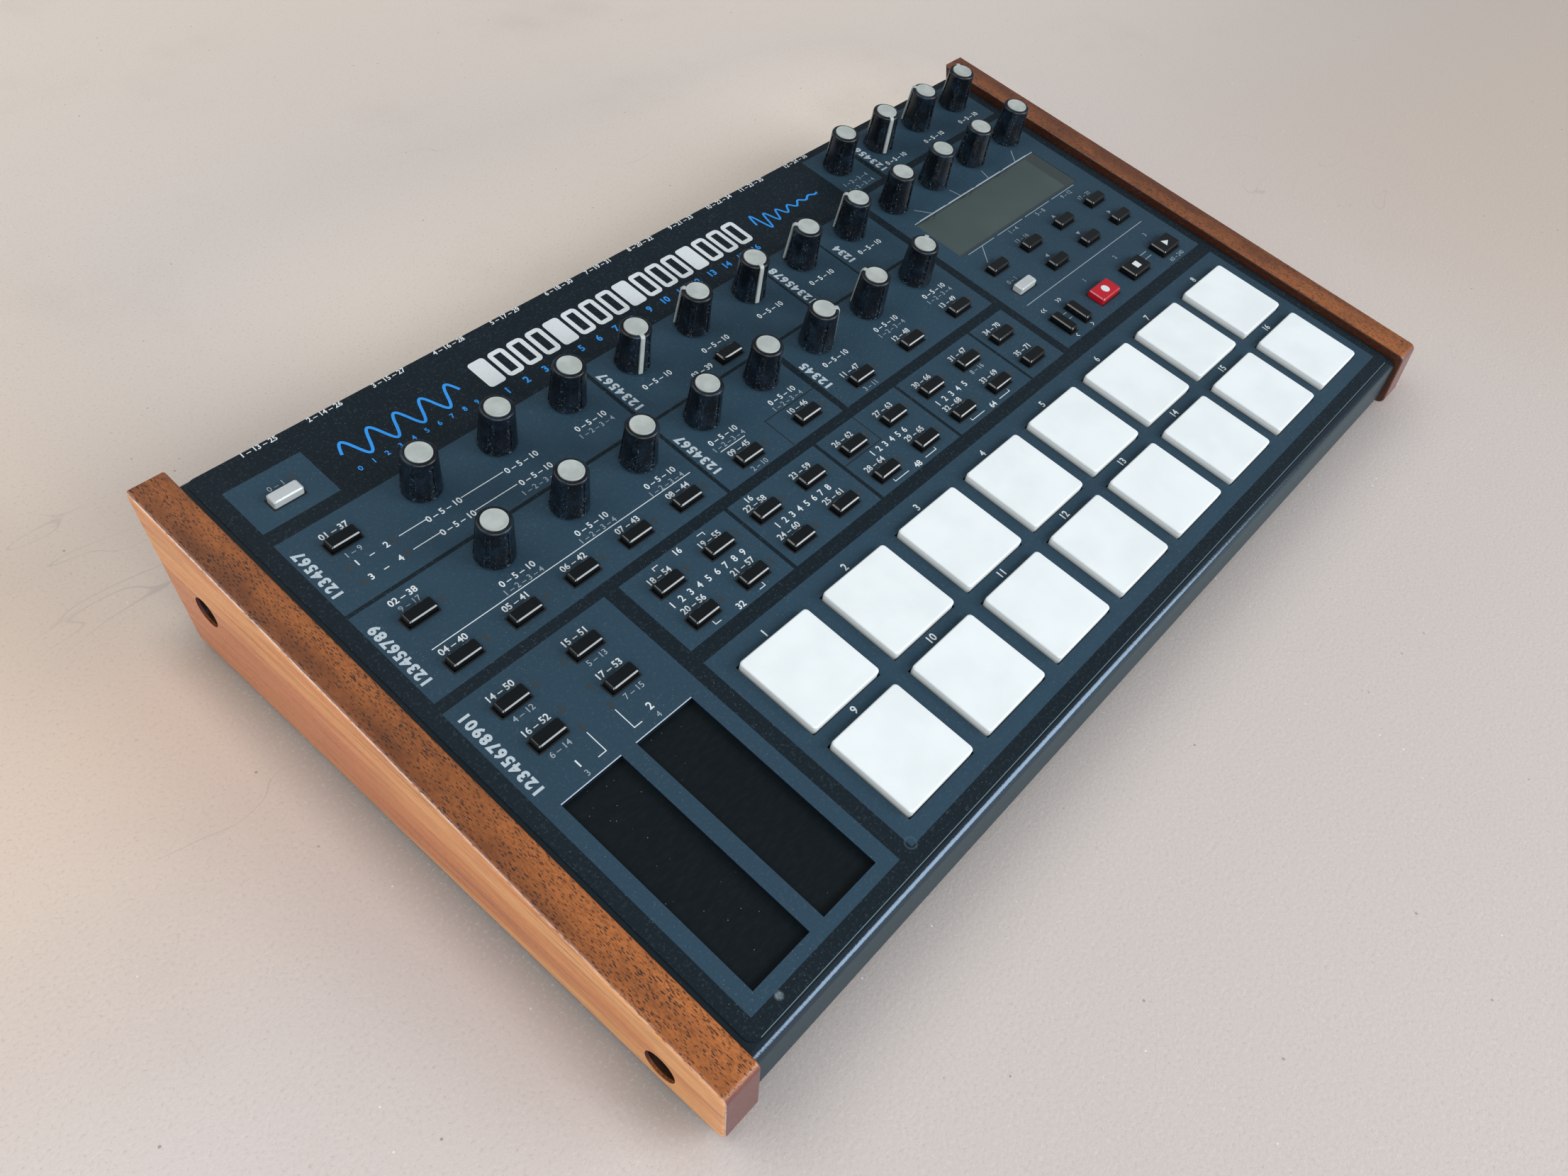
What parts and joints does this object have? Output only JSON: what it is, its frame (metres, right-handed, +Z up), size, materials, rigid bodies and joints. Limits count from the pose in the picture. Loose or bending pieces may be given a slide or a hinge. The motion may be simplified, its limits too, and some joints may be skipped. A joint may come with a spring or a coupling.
{
  "type": "drum machine",
  "caption": "Desktop drum machine with wooden cheeks, a tilted black and blue panel, white pads, fluted knobs, small keys, touch strips and a display.",
  "frame": {"origin": "on the table under the middle of the case, at the bottom centre of its bounding box", "axes": "+X to the player's right, +Y away from the player, +Z up"},
  "size_m": [0.391, 0.2253, 0.0652],
  "materials": {
    "case_steel": "fine textured black powder coat",
    "film": "satin printed polycarbonate, black with slate-blue blocks",
    "cheek_wood": "oiled reddish hardwood",
    "black_steel": "black oxide",
    "feet_rubber": "matte",
    "display_glass": "clear window over a grey-green unlit screen",
    "strip_plastic": "satin",
    "board": "solder-masked laminate with black parts",
    "socket_plastic": "moulded",
    "pad_rubber": "soft matte white silicone",
    "knob_plastic": "soft-touch black with a pale cap",
    "key_plastic": "polished edges",
    "record_plastic": "satin red",
    "pale_plastic": "off-white"
  },
  "bodies": {
    "chassis": {"top_cover": "case_steel", "panel_film": "film", "bottom_pan": "case_steel", "left_cheek": "cheek_wood", "right_cheek": "cheek_wood", "screws": "black_steel", "rubber_feet": "feet_rubber", "display_window": "display_glass", "touch_strips": "strip_plastic", "control_board": "board", "rear_sockets": "socket_plastic", "circuit_boards": "board"},
    "rocker": {"power_rocker": "socket_plastic"},
    "record_key_body": {"record_key": "record_plastic"},
    "stop_key_body": {"stop_key": "key_plastic"},
    "play_key_body": {"play_key": "key_plastic"},
    "shift_keys_body": {"shift_keys": "pale_plastic"},
    "screen_keys_body": {"screen_keys": "key_plastic"},
    "edit_keys_body": {"edit_keys": "key_plastic"},
    "bank_keys_body": {"bank_keys": "key_plastic"},
    "pointer_knob_01_body": {"pointer_knob_01": "knob_plastic"},
    "pointer_knob_02_body": {"pointer_knob_02": "knob_plastic"},
    "pointer_knob_03_body": {"pointer_knob_03": "knob_plastic"},
    "pointer_knob_04_body": {"pointer_knob_04": "knob_plastic"},
    "pointer_knob_05_body": {"pointer_knob_05": "knob_plastic"},
    "pointer_knob_06_body": {"pointer_knob_06": "knob_plastic"},
    "pointer_knob_07_body": {"pointer_knob_07": "knob_plastic"},
    "pointer_knob_08_body": {"pointer_knob_08": "knob_plastic"},
    "pointer_knob_09_body": {"pointer_knob_09": "knob_plastic"},
    "pointer_knob_10_body": {"pointer_knob_10": "knob_plastic"},
    "pointer_knob_11_body": {"pointer_knob_11": "knob_plastic"},
    "pad_01_body": {"pad_01": "pad_rubber"},
    "pad_02_body": {"pad_02": "pad_rubber"},
    "pad_03_body": {"pad_03": "pad_rubber"},
    "pad_04_body": {"pad_04": "pad_rubber"},
    "pad_05_body": {"pad_05": "pad_rubber"},
    "pad_06_body": {"pad_06": "pad_rubber"},
    "pad_07_body": {"pad_07": "pad_rubber"},
    "pad_08_body": {"pad_08": "pad_rubber"},
    "pad_09_body": {"pad_09": "pad_rubber"},
    "pad_10_body": {"pad_10": "pad_rubber"},
    "pad_11_body": {"pad_11": "pad_rubber"},
    "pad_12_body": {"pad_12": "pad_rubber"},
    "pad_13_body": {"pad_13": "pad_rubber"},
    "pad_14_body": {"pad_14": "pad_rubber"},
    "pad_15_body": {"pad_15": "pad_rubber"},
    "pad_16_body": {"pad_16": "pad_rubber"},
    "encoder_knob_01_body": {"encoder_knob_01": "knob_plastic"},
    "encoder_knob_02_body": {"encoder_knob_02": "knob_plastic"},
    "encoder_knob_03_body": {"encoder_knob_03": "knob_plastic"},
    "encoder_knob_04_body": {"encoder_knob_04": "knob_plastic"},
    "encoder_knob_05_body": {"encoder_knob_05": "knob_plastic"},
    "encoder_knob_06_body": {"encoder_knob_06": "knob_plastic"},
    "encoder_knob_07_body": {"encoder_knob_07": "knob_plastic"},
    "encoder_knob_08_body": {"encoder_knob_08": "knob_plastic"},
    "encoder_knob_09_body": {"encoder_knob_09": "knob_plastic"},
    "encoder_knob_10_body": {"encoder_knob_10": "knob_plastic"},
    "encoder_knob_11_body": {"encoder_knob_11": "knob_plastic"},
    "encoder_knob_12_body": {"encoder_knob_12": "knob_plastic"},
    "encoder_knob_13_body": {"encoder_knob_13": "knob_plastic"}
  },
  "joints": [
    {"name": "power_rocker_turn", "type": "hinge", "parent": "chassis", "child": "rocker", "pos_m": [0.0786, 0.10408, 0.02356], "axis": [0, 0.2147, 0.9767], "range_deg": [-20, 0]},
    {"name": "record_key_press", "type": "slide", "parent": "chassis", "child": "record_key_body", "axis": [0, 0.1305, -0.9914], "range_m": [0, 0.0007], "stiffness_N_per_m": 400, "springref_m": -0.0005},
    {"name": "stop_key_press", "type": "slide", "parent": "chassis", "child": "stop_key_body", "axis": [0, 0.1305, -0.9914], "range_m": [0, 0.0007], "stiffness_N_per_m": 400, "springref_m": -0.0005},
    {"name": "play_key_press", "type": "slide", "parent": "chassis", "child": "play_key_body", "axis": [0, 0.1305, -0.9914], "range_m": [0, 0.0007], "stiffness_N_per_m": 400, "springref_m": -0.0005},
    {"name": "shift_keys_press", "type": "slide", "parent": "chassis", "child": "shift_keys_body", "axis": [0, 0.1305, -0.9914], "range_m": [0, 0.0007], "stiffness_N_per_m": 565.69, "springref_m": -0.0005},
    {"name": "screen_keys_press", "type": "slide", "parent": "chassis", "child": "screen_keys_body", "axis": [0, 0.1305, -0.9914], "range_m": [0, 0.0007], "stiffness_N_per_m": 1200, "springref_m": -0.0005},
    {"name": "edit_keys_press", "type": "slide", "parent": "chassis", "child": "edit_keys_body", "axis": [0, 0.1305, -0.9914], "range_m": [0, 0.0007], "stiffness_N_per_m": 1442.2, "springref_m": -0.0005},
    {"name": "bank_keys_press", "type": "slide", "parent": "chassis", "child": "bank_keys_body", "axis": [0, 0.1305, -0.9914], "range_m": [0, 0.0007], "stiffness_N_per_m": 1876.2, "springref_m": -0.0005},
    {"name": "pointer_knob_01_turn", "type": "hinge", "parent": "chassis", "child": "pointer_knob_01_body", "pos_m": [-0.04905, 0.06727, 0.04525], "axis": [0, -0.1305, 0.9914], "range_deg": [-300, 0]},
    {"name": "pointer_knob_02_turn", "type": "hinge", "parent": "chassis", "child": "pointer_knob_02_body", "pos_m": [-0.021, 0.06727, 0.04525], "axis": [0, -0.1305, 0.9914], "range_deg": [-174, 126]},
    {"name": "pointer_knob_03_turn", "type": "hinge", "parent": "chassis", "child": "pointer_knob_03_body", "pos_m": [0.00705, 0.06727, 0.04525], "axis": [0, -0.1305, 0.9914], "range_deg": [-300, 0]},
    {"name": "pointer_knob_04_turn", "type": "hinge", "parent": "chassis", "child": "pointer_knob_04_body", "pos_m": [0.0351, 0.06727, 0.04525], "axis": [0, -0.1305, 0.9914], "range_deg": [-177, 123]},
    {"name": "pointer_knob_05_turn", "type": "hinge", "parent": "chassis", "child": "pointer_knob_05_body", "pos_m": [0.06315, 0.06727, 0.04525], "axis": [0, -0.1305, 0.9914], "range_deg": [-166, 134]},
    {"name": "pointer_knob_06_turn", "type": "hinge", "parent": "chassis", "child": "pointer_knob_06_body", "pos_m": [0.00705, 0.03594, 0.04113], "axis": [0, -0.1305, 0.9914], "range_deg": [-16, 284]},
    {"name": "pointer_knob_07_turn", "type": "hinge", "parent": "chassis", "child": "pointer_knob_07_body", "pos_m": [0.0351, 0.03594, 0.04113], "axis": [0, -0.1305, 0.9914], "range_deg": [-151, 149]},
    {"name": "pointer_knob_08_turn", "type": "hinge", "parent": "chassis", "child": "pointer_knob_08_body", "pos_m": [0.06315, 0.03594, 0.04113], "axis": [0, -0.1305, 0.9914], "range_deg": [-78, 222]},
    {"name": "pointer_knob_09_turn", "type": "hinge", "parent": "chassis", "child": "pointer_knob_09_body", "pos_m": [0.11545, 0.09563, 0.04898], "axis": [0, -0.1305, 0.9914], "range_deg": [-292, 8]},
    {"name": "pointer_knob_10_turn", "type": "hinge", "parent": "chassis", "child": "pointer_knob_10_body", "pos_m": [0.1409, 0.09563, 0.04898], "axis": [0, -0.1305, 0.9914], "range_deg": [-163, 137]},
    {"name": "pointer_knob_11_turn", "type": "hinge", "parent": "chassis", "child": "pointer_knob_11_body", "pos_m": [0.16635, 0.09563, 0.04898], "axis": [0, -0.1305, 0.9914], "range_deg": [-108, 192]},
    {"name": "pad_01_press", "type": "slide", "parent": "chassis", "child": "pad_01_body", "axis": [0, 0.1305, -0.9914], "range_m": [0, 0.001], "stiffness_N_per_m": 800, "springref_m": -0.0005},
    {"name": "pad_02_press", "type": "slide", "parent": "chassis", "child": "pad_02_body", "axis": [0, 0.1305, -0.9914], "range_m": [0, 0.001], "stiffness_N_per_m": 800, "springref_m": -0.0005},
    {"name": "pad_03_press", "type": "slide", "parent": "chassis", "child": "pad_03_body", "axis": [0, 0.1305, -0.9914], "range_m": [0, 0.001], "stiffness_N_per_m": 800, "springref_m": -0.0005},
    {"name": "pad_04_press", "type": "slide", "parent": "chassis", "child": "pad_04_body", "axis": [0, 0.1305, -0.9914], "range_m": [0, 0.001], "stiffness_N_per_m": 800, "springref_m": -0.0005},
    {"name": "pad_05_press", "type": "slide", "parent": "chassis", "child": "pad_05_body", "axis": [0, 0.1305, -0.9914], "range_m": [0, 0.001], "stiffness_N_per_m": 800, "springref_m": -0.0005},
    {"name": "pad_06_press", "type": "slide", "parent": "chassis", "child": "pad_06_body", "axis": [0, 0.1305, -0.9914], "range_m": [0, 0.001], "stiffness_N_per_m": 800, "springref_m": -0.0005},
    {"name": "pad_07_press", "type": "slide", "parent": "chassis", "child": "pad_07_body", "axis": [0, 0.1305, -0.9914], "range_m": [0, 0.001], "stiffness_N_per_m": 800, "springref_m": -0.0005},
    {"name": "pad_08_press", "type": "slide", "parent": "chassis", "child": "pad_08_body", "axis": [0, 0.1305, -0.9914], "range_m": [0, 0.001], "stiffness_N_per_m": 800, "springref_m": -0.0005},
    {"name": "pad_09_press", "type": "slide", "parent": "chassis", "child": "pad_09_body", "axis": [0, 0.1305, -0.9914], "range_m": [0, 0.001], "stiffness_N_per_m": 800, "springref_m": -0.0005},
    {"name": "pad_10_press", "type": "slide", "parent": "chassis", "child": "pad_10_body", "axis": [0, 0.1305, -0.9914], "range_m": [0, 0.001], "stiffness_N_per_m": 800, "springref_m": -0.0005},
    {"name": "pad_11_press", "type": "slide", "parent": "chassis", "child": "pad_11_body", "axis": [0, 0.1305, -0.9914], "range_m": [0, 0.001], "stiffness_N_per_m": 800, "springref_m": -0.0005},
    {"name": "pad_12_press", "type": "slide", "parent": "chassis", "child": "pad_12_body", "axis": [0, 0.1305, -0.9914], "range_m": [0, 0.001], "stiffness_N_per_m": 800, "springref_m": -0.0005},
    {"name": "pad_13_press", "type": "slide", "parent": "chassis", "child": "pad_13_body", "axis": [0, 0.1305, -0.9914], "range_m": [0, 0.001], "stiffness_N_per_m": 800, "springref_m": -0.0005},
    {"name": "pad_14_press", "type": "slide", "parent": "chassis", "child": "pad_14_body", "axis": [0, 0.1305, -0.9914], "range_m": [0, 0.001], "stiffness_N_per_m": 800, "springref_m": -0.0005},
    {"name": "pad_15_press", "type": "slide", "parent": "chassis", "child": "pad_15_body", "axis": [0, 0.1305, -0.9914], "range_m": [0, 0.001], "stiffness_N_per_m": 800, "springref_m": -0.0005},
    {"name": "pad_16_press", "type": "slide", "parent": "chassis", "child": "pad_16_body", "axis": [0, 0.1305, -0.9914], "range_m": [0, 0.001], "stiffness_N_per_m": 800, "springref_m": -0.0005},
    {"name": "encoder_knob_01_turn", "type": "hinge", "parent": "chassis", "child": "encoder_knob_01_body", "pos_m": [-0.1332, 0.06727, 0.04525], "axis": [0, -0.1305, 0.9914], "continuous": true},
    {"name": "encoder_knob_02_turn", "type": "hinge", "parent": "chassis", "child": "encoder_knob_02_body", "pos_m": [-0.10515, 0.06727, 0.04525], "axis": [0, -0.1305, 0.9914], "continuous": true},
    {"name": "encoder_knob_03_turn", "type": "hinge", "parent": "chassis", "child": "encoder_knob_03_body", "pos_m": [-0.0771, 0.06727, 0.04525], "axis": [0, -0.1305, 0.9914], "continuous": true},
    {"name": "encoder_knob_04_turn", "type": "hinge", "parent": "chassis", "child": "encoder_knob_04_body", "pos_m": [-0.1332, 0.03594, 0.04113], "axis": [0, -0.1305, 0.9914], "continuous": true},
    {"name": "encoder_knob_05_turn", "type": "hinge", "parent": "chassis", "child": "encoder_knob_05_body", "pos_m": [-0.10515, 0.03594, 0.04113], "axis": [0, -0.1305, 0.9914], "continuous": true},
    {"name": "encoder_knob_06_turn", "type": "hinge", "parent": "chassis", "child": "encoder_knob_06_body", "pos_m": [-0.0771, 0.03594, 0.04113], "axis": [0, -0.1305, 0.9914], "continuous": true},
    {"name": "encoder_knob_07_turn", "type": "hinge", "parent": "chassis", "child": "encoder_knob_07_body", "pos_m": [-0.04905, 0.03594, 0.04113], "axis": [0, -0.1305, 0.9914], "continuous": true},
    {"name": "encoder_knob_08_turn", "type": "hinge", "parent": "chassis", "child": "encoder_knob_08_body", "pos_m": [-0.021, 0.03594, 0.04113], "axis": [0, -0.1305, 0.9914], "continuous": true},
    {"name": "encoder_knob_09_turn", "type": "hinge", "parent": "chassis", "child": "encoder_knob_09_body", "pos_m": [0.09, 0.09563, 0.04898], "axis": [0, -0.1305, 0.9914], "continuous": true},
    {"name": "encoder_knob_10_turn", "type": "hinge", "parent": "chassis", "child": "encoder_knob_10_body", "pos_m": [0.09, 0.06727, 0.04525], "axis": [0, -0.1305, 0.9914], "continuous": true},
    {"name": "encoder_knob_11_turn", "type": "hinge", "parent": "chassis", "child": "encoder_knob_11_body", "pos_m": [0.11545, 0.06727, 0.04525], "axis": [0, -0.1305, 0.9914], "continuous": true},
    {"name": "encoder_knob_12_turn", "type": "hinge", "parent": "chassis", "child": "encoder_knob_12_body", "pos_m": [0.1409, 0.06727, 0.04525], "axis": [0, -0.1305, 0.9914], "continuous": true},
    {"name": "encoder_knob_13_turn", "type": "hinge", "parent": "chassis", "child": "encoder_knob_13_body", "pos_m": [0.16635, 0.06727, 0.04525], "axis": [0, -0.1305, 0.9914], "continuous": true}
  ]
}
